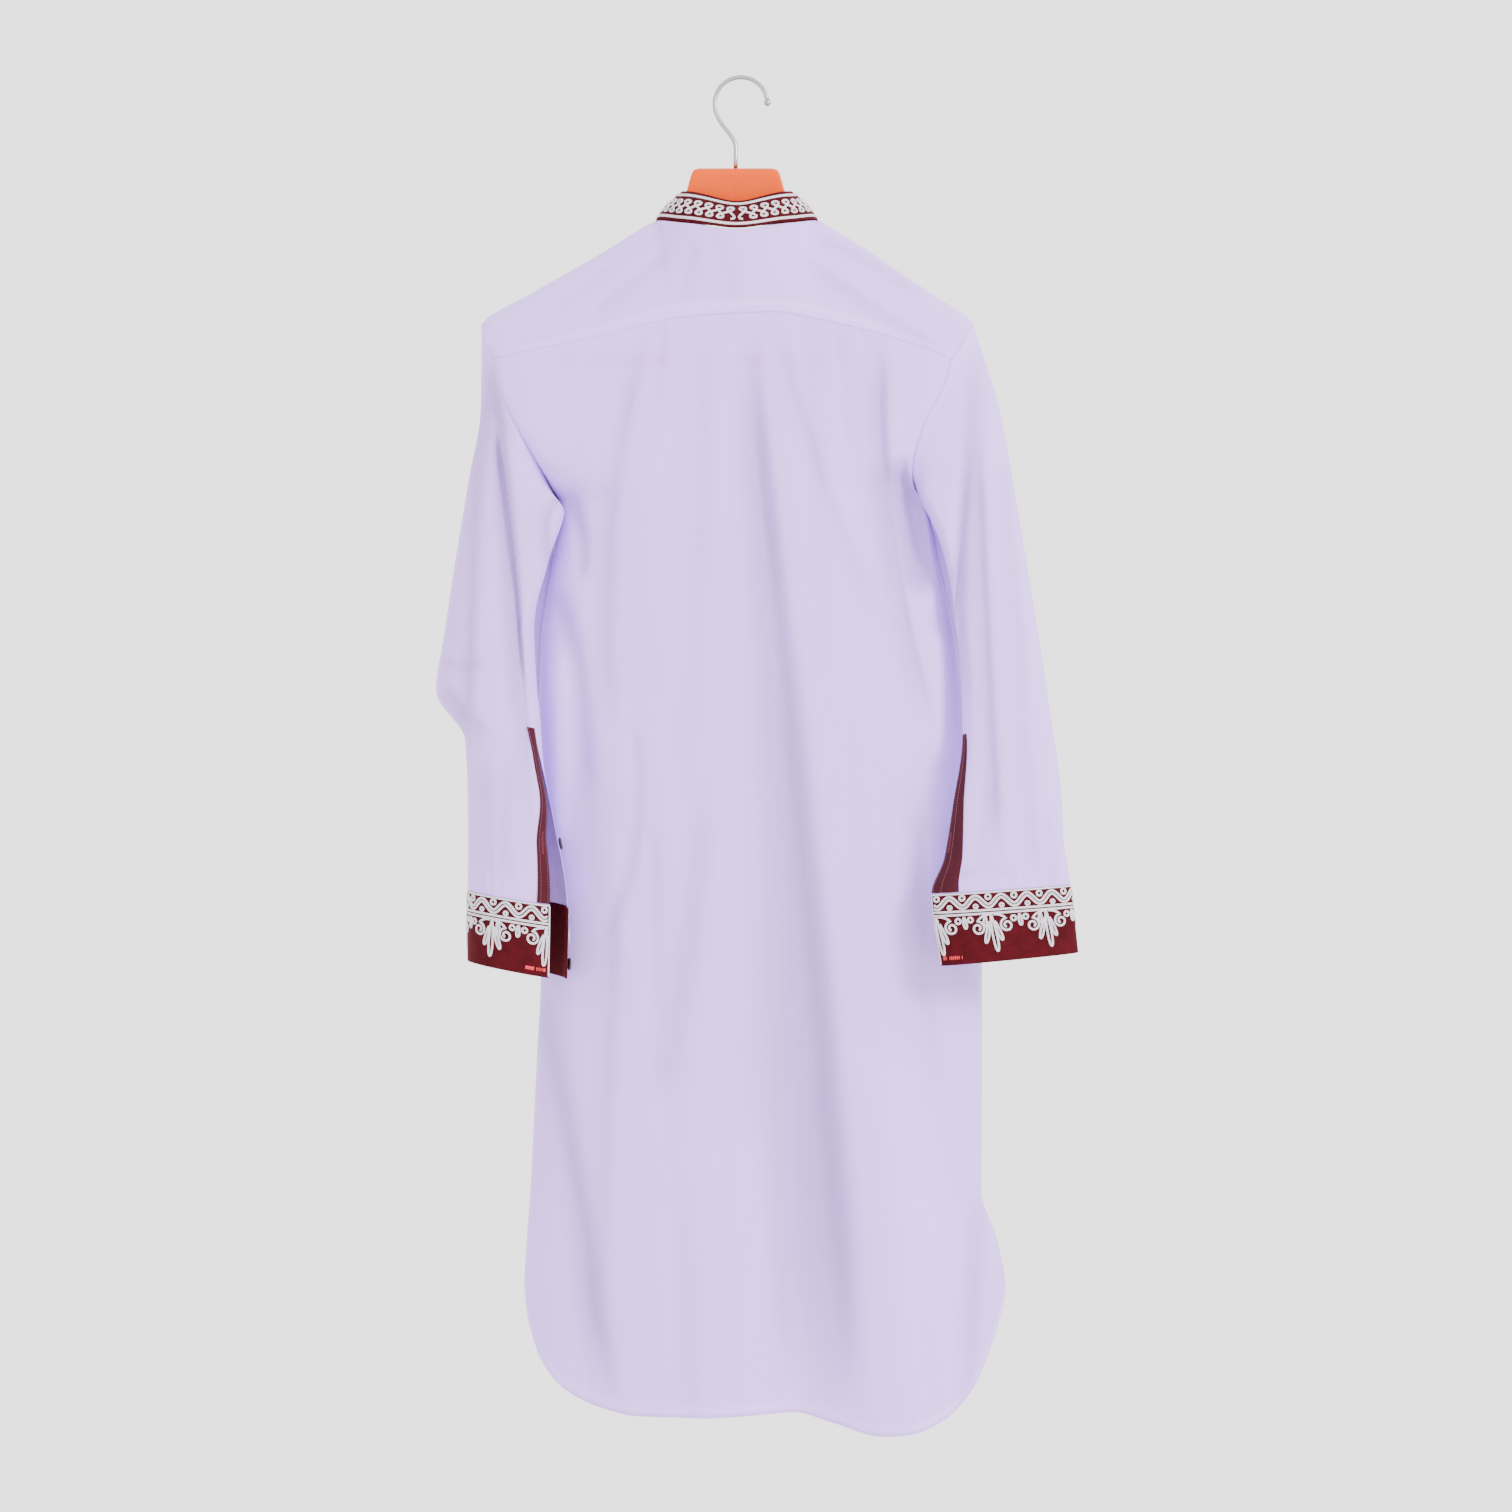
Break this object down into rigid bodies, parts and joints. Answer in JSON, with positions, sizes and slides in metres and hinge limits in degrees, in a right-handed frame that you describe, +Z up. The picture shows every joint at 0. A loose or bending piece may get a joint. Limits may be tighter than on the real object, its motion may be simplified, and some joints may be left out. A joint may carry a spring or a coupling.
{
  "type": "kurta on a clothes hanger",
  "caption": "Long-sleeved cotton kurta with stand collar and open velvet cuffs, hanging on a wide-shouldered plastic hanger with a wire rail hook.",
  "frame": {"origin": "inner top of the hook, where a wardrobe rail carries it", "axes": "+Z up, the longest extent; +Y from the garment's back, which the picture shows, to its front, the shortest extent; +X to the wearer's right"},
  "size_m": [0.5547, 0.1767, 1.1843],
  "materials": {
    "cotton": "thin plain-woven white cotton with a lavender cast, softly creased",
    "velvet": "dark red velvet, short dense nap",
    "braid": "silver-white soutache braid with a faint sheen",
    "binding": "dark red woven binding, matt",
    "button_metal": "dark satin metal",
    "orange_plastic": "moulded, satin to gloss",
    "chrome_wire": "drawn wire, plated"
  },
  "bodies": {
    "root": {"back_panel": "cotton", "yoke": "cotton", "front_panel": "cotton", "front_placket": "cotton", "sleeve_left": "cotton", "sleeve_right": "cotton", "collar": "velvet", "cuff_left": "velvet", "cuff_right": "velvet", "sleeve_band_left": "binding", "sleeve_band_right": "binding", "button_front_1": "button_metal", "button_front_2": "button_metal", "button_front_3": "button_metal", "button_front_4": "button_metal", "button_slit_left": "button_metal", "button_slit_right": "button_metal", "button_cuff_left": "button_metal", "button_cuff_right": "button_metal", "hanger": "orange_plastic", "hanger_bar": "orange_plastic", "hook": "chrome_wire"}
  },
  "joints": []
}
